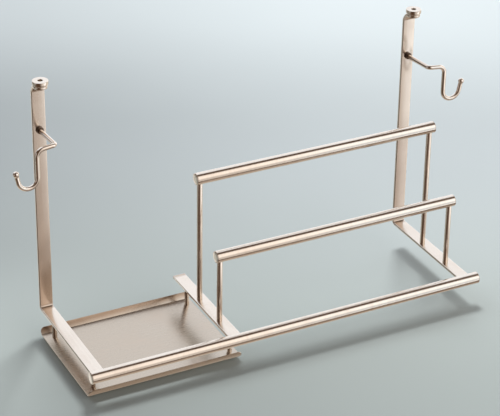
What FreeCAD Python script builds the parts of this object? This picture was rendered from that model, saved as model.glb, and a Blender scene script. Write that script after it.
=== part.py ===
import FreeCAD, Part
import math
import os
import re

import Sketcher
from FreeCAD import Placement, Rotation, Vector

# A hanging valet rack: two flat hanger straps with forward arms, a short middle arm, a front tube
# that joins the three arms, two hanging bars on posts, two coat hooks and a small tray.
# X runs along the bars, -Y is the front, +Z is up. The origin is midway between the two mounting
# holes, on the top faces of the mounting bushes.

doc = FreeCAD.newDocument("valet_rack")
sheet = doc.addObject("Spreadsheet::Sheet", "Sizes")

SIZES = [
    ("mount_pitch", 540, "distance between the two mounting holes"),
    ("bush_radius", 10.3, "head of the mounting bush"),
    ("bush_height", 5.3, "head of the mounting bush"),
    ("bush_bevel", 0.6, "upper edge of the bush"),
    ("bush_neck_radius", 4, "neck of the bush, in the washer and the eye"),
    ("mount_hole_radius", 3.25, "hole right through the bush"),
    ("washer_radius", 9, "mounting washer"),
    ("washer_thickness", 1.2, "mounting washer"),
    ("strap_width", 18, "flat bar of straps and arms"),
    ("strap_thickness", 4, "flat bar of straps and arms"),
    ("strap_face", 9, "front face of a strap, behind its mounting hole"),
    ("bend_radius", 3, "inside radius of the bends in a strap"),
    ("crank_start", 18, "top of the straight strap, below the mount face"),
    ("crank_angle", 35, "lean of the cranked top, degrees from upright"),
    ("eye_reach", 9, "front of the eye, ahead of the mounting hole"),
    ("eye_corner", 8.9, "rounding of the eye's front corners"),
    ("arm_drop", 332, "upper face of the arms, below the mount face"),
    ("bar_radius", 8, "all three tubes"),
    ("bar_wall", 1.5, "all three tubes"),
    ("cap_thickness", 1.2, "end cap outside its tube"),
    ("cap_plug_length", 6, "end cap inside its tube"),
    ("cap_bevel", 0.8, "edge of an end cap"),
    ("front_bar_length", 570, "front bar over its caps"),
    ("front_bar_left", 283, "left end of the front bar, from the middle"),
    ("front_bar_reach", 171, "front bar, ahead of the mounting holes"),
    ("tongue_length", 3, "end of an arm inside the front tube, past its wall"),
    ("hanging_bar_length", 360, "rear and middle bars over their caps"),
    ("hanging_bar_left", 86.5, "left end of the hanging bars, from the middle"),
    ("rear_bar_reach", 61, "rear bar, ahead of the mounting holes"),
    ("rear_bar_height", 181, "rear bar above the arms"),
    ("middle_bar_reach", 121, "middle bar, ahead of the mounting holes"),
    ("middle_bar_height", 96.5, "middle bar above the arms"),
    ("arm_middle_place", 78, "centre line of the middle arm, left of the middle"),
    ("arm_corner", 1.2, "rounded corners at the rear of the middle arm"),
    ("post_radius", 3.75, "posts of the hanging bars"),
    ("post_left_place", 80, "left posts, left of the middle"),
    ("post_right_place", 267, "right posts, right of the middle"),
    ("post_entry", 4, "top of a post, below the axis of its bar"),
    ("screw_radius", 2, "shank of a post screw"),
    ("screw_length", 12, "post screw inside its post"),
    ("screw_head_radius", 3.5, "post screw"),
    ("screw_head_height", 2, "post screw"),
    ("tray_width", 214, "tray along the bars"),
    ("tray_left", 283, "left edge of the tray, from the middle"),
    ("tray_depth", 162, "flat floor of the tray, with its bends"),
    ("tray_sheet", 1.5, "tray sheet"),
    ("tray_floor_drop", 366.7, "tray floor, below the mount face"),
    ("tray_reach", 82, "middle of the tray, ahead of the mounting holes"),
    ("lip_slant", 11, "height of a tray lip along its slope"),
    ("lip_lean", 27, "lean of a tray lip, degrees from upright"),
    ("lip_corner", 6, "rounded corners of a tray lip"),
    ("spacer_radius", 3.25, "tray spacers"),
    ("spacer_rear_reach", 17, "rear spacers, ahead of the mounting holes"),
    ("spacer_front_reach", 147, "front spacers, ahead of the mounting holes"),
    ("spigot_radius", 2, "top of a spacer, inside the arm"),
    ("spigot_length", 2.5, "top of a spacer, inside the arm"),
    ("tray_screw_radius", 1.6, "shank of a tray screw"),
    ("tray_screw_length", 9, "tray screw inside its spacer"),
    ("tray_screw_head_radius", 3.2, "tray screw"),
    ("tray_screw_head_height", 1.8, "tray screw"),
    ("hook_drop", 72.4, "hook root, below the mount face"),
    ("hook_rod_radius", 3, "hook rod"),
    ("hook_tail_radius", 2.5, "threaded tail of a hook, through its strap"),
    ("hook_root", 7, "level start of the hook rod, in its collar"),
    ("hook_reach", 55, "hook rod ahead of its strap"),
    ("hook_rise", 3.8, "rise of the hook rod on its way forward"),
    ("hook_side", 25, "sideways run of a hook"),
    ("hook_sag", 2.8, "fall of the sideways run"),
    ("hook_curl_drop", 108.5, "centre of the hook's curl, below the mount face"),
    ("hook_curl_radius", 13, "curl of the hook, at the rod's centre line"),
    ("hook_tip_lean", 12, "outward lean of the hook's tip, degrees from upright"),
    ("hook_tip_length", 13.2, "straight end of the hook after its curl"),
    ("hook_root_bend", 12, "bend of the hook rod in front of its collar"),
    ("hook_forward_bend", 4.5, "bend from the hook's forward run into its sideways run"),
    ("hook_bend_radius", 10, "bend from the hook's sideways run into its drop"),
    ("hook_ball_radius", 4, "ball on the tip of a hook"),
    ("collar_radius", 4.8, "collar at the root of a hook"),
    ("collar_length", 3.5, "collar at the root of a hook"),
    ("collar_bevel", 0.7, "front edge of the collar"),
    ("nut_radius", 4.6, "nut of a hook, over its corners"),
    ("nut_length", 5.5, "nut of a hook"),
    ("nut_cover", 1.5, "closed end of the nut"),
    ("past", 1, "how far a cut goes past the surface that it opens"),
]

for row, (alias, value, note) in enumerate(SIZES, start=1):
    sheet.set("A%d" % row, alias)
    sheet.set("B%d" % row, str(value))
    sheet.setAlias("B%d" % row, alias)
    sheet.set("C%d" % row, note)
doc.recompute()

ALIASES = re.compile(r"\b(%s)\b" % "|".join(alias for alias, value, note in SIZES))


def sized(text):
    """An expression on the sheet's values, from one that uses their plain names."""
    return ALIASES.sub(r"Sizes.\1", str(text))


def value(text):
    """The number that an expression gives now."""
    return float(sheet.evalExpression(ALIASES.sub(r"\1", str(text))))


def bind(obj, prop, text):
    """Ties a property to the sheet."""
    obj.setExpression(prop, sized(text))


def origin_plane(body, role):
    """One of the body's own origin planes, such as XY_Plane."""
    return next(item for item in body.Origin.OriginFeatures if item.Role == role)


def new_sketch(body, name, role, height="0"):
    """An empty sketch on an origin plane of the body, moved along the plane's normal."""
    sketch = body.newObject("Sketcher::SketchObject", name)
    sketch.AttachmentSupport = [(origin_plane(body, role), "")]
    sketch.MapMode = "FlatFace"
    if height != "0":
        bind(sketch, "AttachmentOffset.Base.z", height)
    return sketch


def hold(sketch, geometry, point, across, up):
    """Fixes a point of the sketch at two expressions, measured from the sketch's origin."""
    for kind, axis, text in (("DistanceX", -2, across), ("DistanceY", -1, up)):
        number = value(text)
        if abs(number) < 1e-9:
            sketch.addConstraint(Sketcher.Constraint("PointOnObject", geometry, point, axis))
            continue
        index = sketch.addConstraint(Sketcher.Constraint(kind, -1, 1, geometry, point, number))
        sketch.setExpression("Constraints[%d]" % index, sized(text))


def outline(body, name, role, corners, height="0"):
    """A closed outline with a corner at each pair of expressions."""
    sketch = new_sketch(body, name, role, height)
    places = [Vector(value(across), value(up), 0) for across, up in corners]
    count = len(places)
    for index in range(count):
        sketch.addGeometry(Part.LineSegment(places[index], places[(index + 1) % count]))
    for index in range(count):
        sketch.addConstraint(Sketcher.Constraint("Coincident", index, 2, (index + 1) % count, 1))
    for index, (across, up) in enumerate(corners):
        hold(sketch, index, 1, across, up)
    return sketch


def circles(body, name, role, rings, height="0"):
    """Circles, each given by two expressions for its centre and one for its radius."""
    sketch = new_sketch(body, name, role, height)
    for index, (across, up, radius) in enumerate(rings):
        centre = Vector(value(across), value(up), 0)
        sketch.addGeometry(Part.Circle(centre, Vector(0, 0, 1), value(radius)))
        hold(sketch, index, 3, across, up)
        size = sketch.addConstraint(Sketcher.Constraint("Radius", index, value(radius)))
        sketch.setExpression("Constraints[%d]" % size, sized(radius))
    return sketch


def pad(body, name, sketch, length, both_ways=False):
    """Pads a sketch along its normal, or half each way."""
    feature = body.newObject("PartDesign::Pad", name)
    feature.Profile = sketch
    if both_ways:
        feature.SideType = "Symmetric"
    bind(feature, "Length", length)
    sketch.Visibility = False
    return feature


def pocket(body, name, sketch, depth, both_ways=False, along_normal=False):
    """Cuts a sketch into the body, and checks that it did cut."""
    doc.recompute()
    before = body.Shape.Volume
    feature = body.newObject("PartDesign::Pocket", name)
    feature.Profile = sketch
    if both_ways:
        feature.SideType = "Symmetric"
    feature.Reversed = along_normal
    bind(feature, "Length", depth)
    doc.recompute()
    if not body.Shape.Volume < before - 1e-3:
        raise RuntimeError("%s of %s cuts nothing" % (name, body.Label))
    return feature


def fillet(body, name, feature, edges, radius):
    """Rounds the named edges of a feature."""
    rounding = body.newObject("PartDesign::Fillet", name)
    rounding.Base = (feature, edges)
    bind(rounding, "Radius", radius)
    doc.recompute()
    return rounding


def edges_along(shape, direction, places):
    """Names of the straight edges along one axis (0, 1 or 2) that pass through the given places,
    where a place gives the other two coordinates in order."""
    names = []
    for index, edge in enumerate(shape.Edges, start=1):
        if not isinstance(edge.Curve, Part.Line):
            continue
        if abs(abs(edge.tangentAt(edge.FirstParameter)[direction]) - 1) > 1e-6:
            continue
        middle = edge.CenterOfMass
        rest = [middle[axis] for axis in range(3) if axis != direction]
        for place in places:
            if math.dist(rest, place) < 1e-4:
                names.append("Edge%d" % index)
    if len(names) < len(places):
        raise RuntimeError("an edge to round was not found")
    return names


def new_body(label):
    """An empty body that becomes one piece of the rack."""
    body = doc.addObject("PartDesign::Body", label)
    body.Label = label
    return body


def place(obj, x="0", y="0", z="0", axis=Vector(0, 0, 1), angle=0):
    """Puts an object at three expressions, turned about an axis."""
    obj.Placement = Placement(Vector(0, 0, 0), Rotation(axis, angle))
    for name, text in (("x", x), ("y", y), ("z", z)):
        bind(obj, "Placement.Base." + name, text)


def turned(label, profile, role="XZ_Plane", axis="V_Axis"):
    """A round piece: a half outline of (radius, height) corners turned about the upright axis,
    or of (length, radius) corners about the level axis."""
    body = new_body(label)
    sketch = outline(body, label + "_profile", role, profile)
    feature = body.newObject("PartDesign::Revolution", label + "_turn")
    feature.Profile = sketch
    feature.ReferenceAxis = (sketch, [axis])
    feature.Angle = 360
    return body


# Levels and places that several pieces share.
ARM_TOP = "-arm_drop"
ARM_BOTTOM = "-(arm_drop + strap_thickness)"
ARM_END = "-(front_bar_reach - bar_radius + bar_wall + tongue_length)"
EYE_TOP = "-(washer_thickness + bush_height)"
EYE_BOTTOM = "-(washer_thickness + bush_height + strap_thickness)"
HALF_WIDTH = "strap_width / 2"
LEFT_STRAP = "-mount_pitch / 2"
RIGHT_STRAP = "mount_pitch / 2"
SPACER_REACHES = ["-spacer_rear_reach", "-spacer_front_reach"]
POST_REACHES = ["-rear_bar_reach", "-middle_bar_reach"]

pieces = []


def spigot_holes(body, across):
    """Blind holes in an arm's lower face for the tops of the tray spacers."""
    rings = [(across, reach, "spigot_radius") for reach in SPACER_REACHES]
    sketch = circles(body, body.Label + "_spigots", "XY_Plane", rings, ARM_BOTTOM)
    pocket(body, body.Label + "_spigot_holes", sketch, "spigot_length", along_normal=True)


def post_screw_holes(body, across):
    """Holes through an arm for the post screws, with a recess below for each head."""
    rings = [(across, reach, "screw_radius") for reach in POST_REACHES]
    sketch = circles(body, body.Label + "_screws", "XY_Plane", rings, ARM_BOTTOM)
    pocket(body, body.Label + "_screw_holes", sketch, "strap_thickness", along_normal=True)
    rings = [(across, reach, "screw_head_radius") for reach in POST_REACHES]
    sketch = circles(body, body.Label + "_heads", "XY_Plane", rings, ARM_BOTTOM)
    pocket(body, body.Label + "_head_holes", sketch, "screw_head_height", along_normal=True)


def strap(label, across):
    """A hanger strap and its arm, bent from one flat bar, with the cranked eye at its top."""
    body = new_body(label)
    crank_front = "strap_face - (crank_start + %s) * tan(crank_angle * 1deg)" % EYE_BOTTOM
    crank_rear = crank_front + " + strap_thickness * tan((90 - crank_angle) / 2 * 1deg)"
    rear_turn = "-crank_start + strap_thickness * tan(crank_angle / 2 * 1deg)"
    rear_face = "strap_face + strap_thickness"
    corners = [
        (ARM_END, ARM_TOP),
        ("strap_face", ARM_TOP),
        ("strap_face", "-crank_start"),
        (crank_front, EYE_BOTTOM),
        ("-eye_reach", EYE_BOTTOM),
        ("-eye_reach", EYE_TOP),
        (crank_rear, EYE_TOP),
        (rear_face, rear_turn),
        (rear_face, ARM_BOTTOM),
        (ARM_END, ARM_BOTTOM),
    ]
    sketch = outline(body, label + "_side", "YZ_Plane", corners)
    feature = pad(body, label + "_bar", sketch, "strap_width", both_ways=True)
    doc.recompute()
    inner = [(value(y), value(z)) for y, z in (corners[1], corners[2], corners[3])]
    outer = [(value(y), value(z)) for y, z in (corners[6], corners[7], corners[8])]
    edges = edges_along(feature.Shape, 0, inner)
    feature = fillet(body, label + "_inner_bends", feature, edges, "bend_radius")
    edges = edges_along(feature.Shape, 0, outer)
    outer_radius = "bend_radius + strap_thickness"
    feature = fillet(body, label + "_outer_bends", feature, edges, outer_radius)
    front = -value("eye_reach")
    side = value(HALF_WIDTH)
    edges = edges_along(feature.Shape, 2, [(-side, front), (side, front)])
    fillet(body, label + "_eye_rounding", feature, edges, "eye_corner")
    ring = circles(body, label + "_eye", "XY_Plane", [("0", "0", "bush_neck_radius")])
    pocket(body, label + "_eye_hole", ring, "2 * (%s)" % EYE_BOTTOM.lstrip("-"), both_ways=True)
    ring = circles(body, label + "_hook", "XZ_Plane", [("0", "-hook_drop", "hook_tail_radius")])
    pocket(body, label + "_hook_hole", ring, "2 * (%s)" % rear_face, both_ways=True)
    place(body, across)
    pieces.append(body)
    return body


spigot_holes(strap("strap_left", LEFT_STRAP), "0")
post_screw_holes(strap("strap_right", RIGHT_STRAP), "post_right_place - mount_pitch / 2")


def middle_arm():
    """The short flat arm between the straps."""
    body = new_body("arm_middle")
    corners = [
        ("-" + HALF_WIDTH, ARM_END),
        (HALF_WIDTH, ARM_END),
        (HALF_WIDTH, "strap_face"),
        ("-" + HALF_WIDTH, "strap_face"),
    ]
    sketch = outline(body, "arm_middle_plan", "XY_Plane", corners, ARM_BOTTOM)
    feature = pad(body, "arm_middle_bar", sketch, "strap_thickness")
    doc.recompute()
    side = value(HALF_WIDTH)
    rear = value("strap_face")
    edges = edges_along(feature.Shape, 2, [(-side, rear), (side, rear)])
    fillet(body, "arm_middle_corners", feature, edges, "arm_corner")
    spigot_holes(body, "0")
    post_screw_holes(body, "arm_middle_place - post_left_place")
    place(body, "-arm_middle_place")
    pieces.append(body)


middle_arm()


def tube(label, length, x, y, z):
    """A tube along X, open at both ends, that starts at its own origin."""
    body = new_body(label)
    rings = [("0", "0", "bar_radius"), ("0", "0", "bar_radius - bar_wall")]
    sketch = circles(body, label + "_section", "YZ_Plane", rings)
    pad(body, label + "_tube", sketch, length)
    doc.recompute()
    place(body, x, y, z)
    pieces.append(body)
    return body


def end_caps(name, length, x, y, z):
    """The two plugs of a tube, each with a bevelled disc outside the tube."""
    profile = [
        ("-cap_thickness", "0"),
        ("-cap_thickness", "bar_radius - cap_bevel"),
        ("-cap_thickness + cap_bevel", "bar_radius"),
        ("0", "bar_radius"),
        ("0", "bar_radius - bar_wall"),
        ("cap_plug_length", "bar_radius - bar_wall"),
        ("cap_plug_length", "0"),
    ]
    for side, start, turn in (("left", x, 0), ("right", "%s + %s" % (x, length), 180)):
        cap = turned("%s_cap_%s" % (name, side), profile, "XY_Plane", "H_Axis")
        place(cap, start, y, z, angle=turn)
        pieces.append(cap)


FRONT_TUBE = "front_bar_length - 2 * cap_thickness"
FRONT_LEFT = "-front_bar_left + cap_thickness"
FRONT_AXIS = "-(arm_drop + strap_thickness / 2)"

front_bar = tube("front_bar", FRONT_TUBE, FRONT_LEFT, "-front_bar_reach", FRONT_AXIS)
for number, arm_x in enumerate([LEFT_STRAP, "-arm_middle_place", RIGHT_STRAP], start=1):
    # a slot through the rear wall for the end of each arm
    low = "%s - strap_width / 2 + front_bar_left - cap_thickness" % arm_x
    high = "%s + strap_width / 2 + front_bar_left - cap_thickness" % arm_x
    near = "bar_radius - bar_wall - tongue_length"
    slot = [(low, near), (high, near), (high, "bar_radius + past"), (low, "bar_radius + past")]
    slot_sketch = outline(front_bar, "slot_%d" % number, "XY_Plane", slot)
    pocket(front_bar, "arm_slot_%d" % number, slot_sketch, "strap_thickness", both_ways=True)
end_caps("front_bar", FRONT_TUBE, FRONT_LEFT, "-front_bar_reach", FRONT_AXIS)

HANGING_TUBE = "hanging_bar_length - 2 * cap_thickness"
HANGING_LEFT = "-hanging_bar_left + cap_thickness"
POST_PLACES = {"left": "-post_left_place", "right": "post_right_place"}

for bar_name, reach, height in (
    ("rear_bar", "-rear_bar_reach", "rear_bar_height"),
    ("middle_bar", "-middle_bar_reach", "middle_bar_height"),
):
    bar = tube(bar_name, HANGING_TUBE, HANGING_LEFT, reach, "%s - arm_drop" % height)
    # a hole in the lower wall for the top of each post
    entries = [
        ("%s + hanging_bar_left - cap_thickness" % post_x, "0", "post_radius")
        for post_x in POST_PLACES.values()
    ]
    entry_sketch = circles(bar, bar_name + "_entries", "XY_Plane", entries)
    pocket(bar, bar_name + "_post_holes", entry_sketch, "bar_radius + past")
    end_caps(bar_name, HANGING_TUBE, HANGING_LEFT, reach, "%s - arm_drop" % height)
    post_length = "%s - post_entry" % height
    post_profile = [
        ("screw_radius", "0"),
        ("post_radius", "0"),
        ("post_radius", post_length),
        ("0", post_length),
        ("0", "screw_length"),
        ("screw_radius", "screw_length"),
    ]
    for side, post_x in POST_PLACES.items():
        post = turned("%s_post_%s" % (bar_name, side), post_profile)
        place(post, post_x, reach, ARM_TOP)
        pieces.append(post)


def group(label, members):
    """Separate equal solids that share one node."""
    compound = doc.addObject("Part::Compound", label)
    compound.Label = label
    compound.Links = members
    pieces.append(compound)


def screw(label, shank_radius, shank_length, head_radius, head_height):
    """A flat-headed screw, head down, with the top of its head at its own origin."""
    profile = [
        ("0", "-(%s)" % head_height),
        (head_radius, "-(%s)" % head_height),
        (head_radius, "0"),
        (shank_radius, "0"),
        (shank_radius, shank_length),
        ("0", shank_length),
    ]
    return turned(label, profile)


post_screws = []
for side, post_x in POST_PLACES.items():
    for row, reach in enumerate(POST_REACHES, start=1):
        name = "post_screw_%s_%d" % (side, row)
        length = "strap_thickness - screw_head_height + screw_length"
        item = screw(name, "screw_radius", length, "screw_head_radius", "screw_head_height")
        place(item, post_x, reach, "%s + screw_head_height" % ARM_BOTTOM)
        post_screws.append(item)
group("post_screws", post_screws)

SPACER_PLACES = {"left": LEFT_STRAP, "right": "-arm_middle_place"}
SPACER_LENGTH = "tray_floor_drop - arm_drop - strap_thickness"
spacer_profile = [
    ("tray_screw_radius", "0"),
    ("spacer_radius", "0"),
    ("spacer_radius", SPACER_LENGTH),
    ("spigot_radius", SPACER_LENGTH),
    ("spigot_radius", SPACER_LENGTH + " + spigot_length"),
    ("0", SPACER_LENGTH + " + spigot_length"),
    ("0", "tray_screw_length"),
    ("tray_screw_radius", "tray_screw_length"),
]
tray_screws = []
for side, spacer_x in SPACER_PLACES.items():
    for depth, reach in zip(("rear", "front"), SPACER_REACHES):
        spacer = turned("tray_spacer_%s_%s" % (depth, side), spacer_profile)
        place(spacer, spacer_x, reach, "-tray_floor_drop")
        pieces.append(spacer)
        name = "tray_screw_%s_%s" % (depth, side)
        length = "tray_sheet + tray_screw_length"
        head = ("tray_screw_head_radius", "tray_screw_head_height")
        item = screw(name, "tray_screw_radius", length, *head)
        place(item, spacer_x, reach, "-(tray_floor_drop + tray_sheet)")
        tray_screws.append(item)
group("tray_screws", tray_screws)


def tray():
    """A flat sheet folded up at the front and back, open at both sides."""
    body = new_body("tray")
    half = "tray_depth / 2"
    lean = "lip_lean * 1deg"
    top_out = "%s + lip_slant * sin(%s)" % (half, lean)
    top_in = "%s - tray_sheet * cos(%s)" % (top_out, lean)
    high_out = "lip_slant * cos(%s)" % lean
    high_in = "%s + tray_sheet * sin(%s)" % (high_out, lean)
    fold_in = "%s - tray_sheet * tan((90 - lip_lean) / 2 * 1deg)" % half
    rear_half = [
        (half, "0"),
        (top_out, high_out),
        (top_in, high_in),
        (fold_in, "tray_sheet"),
    ]
    front_half = [("-(%s)" % y, z) for y, z in reversed(rear_half)]
    corners = rear_half + front_half
    sketch = outline(body, "tray_side", "YZ_Plane", corners)
    feature = pad(body, "tray_sheet_metal", sketch, "tray_width", both_ways=True)
    doc.recompute()
    folds = [(value(y), value(z)) for y, z in (corners[3], corners[4])]
    edges = edges_along(feature.Shape, 0, folds)
    feature = fillet(body, "tray_inner_folds", feature, edges, "tray_sheet")
    folds = [(value(y), value(z)) for y, z in (corners[0], corners[7])]
    edges = edges_along(feature.Shape, 0, folds)
    feature = fillet(body, "tray_outer_folds", feature, edges, "2 * tray_sheet")
    # the short edges across the sheet at the ends of both lips
    top = value("(%s + %s) / 2" % (high_out, high_in))
    ends = [
        "Edge%d" % index
        for index, edge in enumerate(feature.Shape.Edges, start=1)
        if abs(edge.CenterOfMass.z - top) < 1e-3 and edge.Length < value("2 * tray_sheet")
    ]
    fillet(body, "tray_lip_corners", feature, ends, "lip_corner")
    rings = [
        ("%s + tray_left - tray_width / 2" % x, "%s + tray_reach" % reach)
        for x in SPACER_PLACES.values()
        for reach in SPACER_REACHES
    ]
    rings = [(x, y, "tray_screw_radius") for x, y in rings]
    sketch = circles(body, "tray_screw_places", "XY_Plane", rings)
    pocket(body, "tray_screw_holes", sketch, "tray_sheet", along_normal=True)
    place(
        body,
        "-(tray_left - tray_width / 2)",
        "-tray_reach",
        "-(tray_floor_drop + tray_sheet)",
    )
    pieces.append(body)


tray()

washer_profile = [
    ("bush_neck_radius", "0"),
    ("washer_radius", "0"),
    ("washer_radius", "washer_thickness"),
    ("bush_neck_radius", "washer_thickness"),
]
NECK = "-(washer_thickness + strap_thickness)"
bush_profile = [
    ("mount_hole_radius", NECK),
    ("bush_neck_radius", NECK),
    ("bush_neck_radius", "0"),
    ("bush_radius", "0"),
    ("bush_radius", "bush_height - bush_bevel"),
    ("bush_radius - bush_bevel", "bush_height"),
    ("mount_hole_radius", "bush_height"),
]
for side, strap_x in (("left", LEFT_STRAP), ("right", RIGHT_STRAP)):
    washer = turned("mount_washer_" + side, washer_profile)
    place(washer, strap_x, z=EYE_TOP)
    pieces.append(washer)
    bush = turned("mount_bush_" + side, bush_profile)
    place(bush, strap_x, z="-bush_height")
    pieces.append(bush)


def rounded_path(points, radii):
    """A wire through the points, with a tangent arc of the given radius at each inner point."""
    edges = []
    start = points[0]
    for before, corner, after, radius in zip(points, points[1:], points[2:], radii):
        towards = (before - corner).normalize()
        away = (after - corner).normalize()
        opening = towards.getAngle(away)
        leg = radius / math.tan(opening / 2)
        into = corner + towards * leg
        out_of = corner + away * leg
        middle_line = (towards + away).normalize()
        deep = radius / math.sin(opening / 2) - radius
        edges.append(Part.LineSegment(start, into).toShape())
        edges.append(Part.Arc(into, corner + middle_line * deep, out_of).toShape())
        start = out_of
    edges.append(Part.LineSegment(start, points[-1]).toShape())
    return edges


def hook(side, sign):
    """A coat hook bent from round rod: forward, out to the side, down and round into a curl.
    Its origin is on the strap's front face. Its tail goes back through the strap."""
    label = "hook_" + side
    drop = value("hook_drop")
    out = sign * value("hook_side")
    reach = -value("hook_reach")
    radius = value("hook_curl_radius")
    rise = value("hook_rise")
    curl = drop - value("hook_curl_drop")
    lean = math.radians(value("hook_tip_lean"))
    points = [
        Vector(0, 0, 0),
        Vector(0, -value("hook_root"), 0),
        Vector(0, reach, rise),
        Vector(out, reach, rise - value("hook_sag")),
        Vector(out, reach, curl),
    ]
    bends = ("hook_root_bend", "hook_forward_bend", "hook_bend_radius")
    edges = rounded_path(points, [value(bend) for bend in bends])
    lowest = Vector(out + sign * radius, reach, curl - radius)
    curl_side = out + sign * radius * (1 + math.cos(lean))
    curl_end = Vector(curl_side, reach, curl - radius * math.sin(lean))
    edges.append(Part.Arc(points[-1], lowest, curl_end).toShape())
    upwards = Vector(sign * math.sin(lean), 0, math.cos(lean))
    tip = curl_end + upwards * value("hook_tip_length")
    edges.append(Part.LineSegment(curl_end, tip).toShape())

    path = doc.addObject("Part::Feature", label + "_path")
    path.Shape = Part.Wire(edges)
    section = doc.addObject("Part::Circle", label + "_section")
    bind(section, "Radius", "hook_rod_radius")
    section.Placement = Placement(Vector(0, 0, 0), Rotation(Vector(1, 0, 0), 90))
    rod = doc.addObject("Part::Sweep", label + "_rod")
    rod.Sections = [section]
    rod.Spine = (path, [])
    rod.Solid = True
    rod.Frenet = False
    tail = doc.addObject("Part::Cylinder", label + "_tail")
    bind(tail, "Radius", "hook_tail_radius")
    bind(tail, "Height", "strap_thickness + nut_length - nut_cover")
    tail.Placement = Placement(Vector(0, 0, 0), Rotation(Vector(1, 0, 0), -90))
    whole = doc.addObject("Part::Fuse", label)
    whole.Label = label
    whole.Base = rod
    whole.Tool = tail
    doc.recompute()
    expected = math.pi * value("hook_rod_radius") ** 2 * path.Shape.Length
    if abs(rod.Shape.Volume / expected - 1) > 0.01:
        raise RuntimeError("%s is not as thick as its rod all the way" % label)
    strap_x = "%d * mount_pitch / 2" % sign
    place(whole, strap_x, "strap_face", "-hook_drop")
    pieces.append(whole)

    ball = doc.addObject("Part::Sphere", label + "_round")
    bind(ball, "Radius", "hook_ball_radius")
    bore = doc.addObject("Part::Cylinder", label + "_ball_bore")
    bind(bore, "Radius", "hook_rod_radius")
    bind(bore, "Height", "hook_ball_radius + past")
    bore.Placement = Placement(Vector(0, 0, 0), Rotation(Vector(1, 0, 0), 180))
    knob = doc.addObject("Part::Cut", "hook_ball_" + side)
    knob.Label = "hook_ball_" + side
    knob.Base = ball
    knob.Tool = bore
    curl_width = "hook_curl_radius * (1 + cos(hook_tip_lean * 1deg))"
    tip_side = "hook_side + %s + hook_tip_length * sin(hook_tip_lean * 1deg)" % curl_width
    tip_rise = "(hook_tip_length * cos(%s) - hook_curl_radius * sin(%s))"
    place(
        knob,
        "%d * (mount_pitch / 2 + %s)" % (sign, tip_side),
        "strap_face - hook_reach",
        tip_rise % ("hook_tip_lean * 1deg", "hook_tip_lean * 1deg") + " - hook_curl_drop",
        Vector(0, 1, 0),
        sign * value("hook_tip_lean"),
    )
    pieces.append(knob)

    collar_profile = [
        ("0", "hook_rod_radius"),
        ("collar_length", "hook_rod_radius"),
        ("collar_length", "collar_radius - collar_bevel"),
        ("collar_length - collar_bevel", "collar_radius"),
        ("0", "collar_radius"),
    ]
    collar = turned("hook_collar_" + side, collar_profile, "XY_Plane", "H_Axis")
    place(collar, strap_x, "strap_face", "-hook_drop", angle=-90)
    pieces.append(collar)


def hook_nut(side, strap_x):
    """A closed hexagon nut behind a strap, on the tail of the hook."""
    hexagon = doc.addObject("Part::Prism", "nut_hexagon_" + side)
    hexagon.Polygon = 6
    bind(hexagon, "Circumradius", "nut_radius")
    bind(hexagon, "Height", "nut_length")
    bore = doc.addObject("Part::Cylinder", "nut_bore_" + side)
    bind(bore, "Radius", "hook_tail_radius")
    bind(bore, "Height", "nut_length - nut_cover")
    nut = doc.addObject("Part::Cut", "nut_" + side)
    nut.Base = hexagon
    nut.Tool = bore
    place(nut, strap_x, "strap_face + strap_thickness", "-hook_drop", Vector(1, 0, 0), -90)
    return nut


hook("left", -1)
hook("right", 1)
group("hook_nuts", [hook_nut("left", LEFT_STRAP), hook_nut("right", RIGHT_STRAP)])

doc.recompute()

for obj in doc.Objects:
    if "Invalid" in obj.State or "Error" in obj.State:
        raise RuntimeError("%s did not build: %s" % (obj.Label, obj.State))

os.makedirs("parts", exist_ok=True)
for piece in pieces:
    shape = piece.Shape
    if shape.isNull() or not shape.isValid() or not shape.Solids:
        raise RuntimeError("%s has no valid solid" % piece.Label)
    shape.exportStep("parts/%s.step" % piece.Label)
print("%d pieces" % len(pieces))
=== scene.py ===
"""A hanging valet rack in satin nickel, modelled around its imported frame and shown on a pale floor."""

import math

import bmesh
import bpy
from mathutils import Euler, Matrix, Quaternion, Vector


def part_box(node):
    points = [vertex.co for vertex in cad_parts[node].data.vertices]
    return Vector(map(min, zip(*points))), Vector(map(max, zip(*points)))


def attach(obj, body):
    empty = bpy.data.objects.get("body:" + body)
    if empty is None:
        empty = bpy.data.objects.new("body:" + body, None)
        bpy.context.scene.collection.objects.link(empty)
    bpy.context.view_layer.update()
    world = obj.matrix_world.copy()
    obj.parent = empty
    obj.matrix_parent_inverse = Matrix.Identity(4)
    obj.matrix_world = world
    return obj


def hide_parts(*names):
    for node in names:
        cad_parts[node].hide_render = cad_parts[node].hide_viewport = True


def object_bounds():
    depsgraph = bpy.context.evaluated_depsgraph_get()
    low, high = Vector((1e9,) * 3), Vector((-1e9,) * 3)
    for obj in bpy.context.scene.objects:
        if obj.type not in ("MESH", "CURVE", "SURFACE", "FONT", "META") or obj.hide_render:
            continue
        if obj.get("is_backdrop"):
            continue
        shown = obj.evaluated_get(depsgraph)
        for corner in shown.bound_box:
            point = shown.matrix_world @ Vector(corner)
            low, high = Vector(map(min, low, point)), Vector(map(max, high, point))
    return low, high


bl_info = {
    "name": "Hanging valet rack",
    "version": (1, 0, 0),
    "blender": (4, 5, 0),
    "location": "3D View > Sidebar > Rack",
    "description": "Builds a hanging valet rack in satin nickel, and a pale stage to show it on",
    "category": "Object",
}

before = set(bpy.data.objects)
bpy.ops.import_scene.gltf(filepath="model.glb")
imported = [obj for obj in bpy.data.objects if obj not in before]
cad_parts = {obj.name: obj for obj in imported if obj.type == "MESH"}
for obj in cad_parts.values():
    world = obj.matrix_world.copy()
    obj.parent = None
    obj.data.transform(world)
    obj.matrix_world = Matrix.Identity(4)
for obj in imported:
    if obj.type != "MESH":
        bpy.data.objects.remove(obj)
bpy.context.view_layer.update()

X_AXIS = Vector((1, 0, 0))
Y_AXIS = Vector((0, 1, 0))
Z_AXIS = Vector((0, 0, 1))
SIDES = {"left": -1, "right": 1}
# Two places nearer than this are the same place.
NEAR = 1e-5


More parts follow.
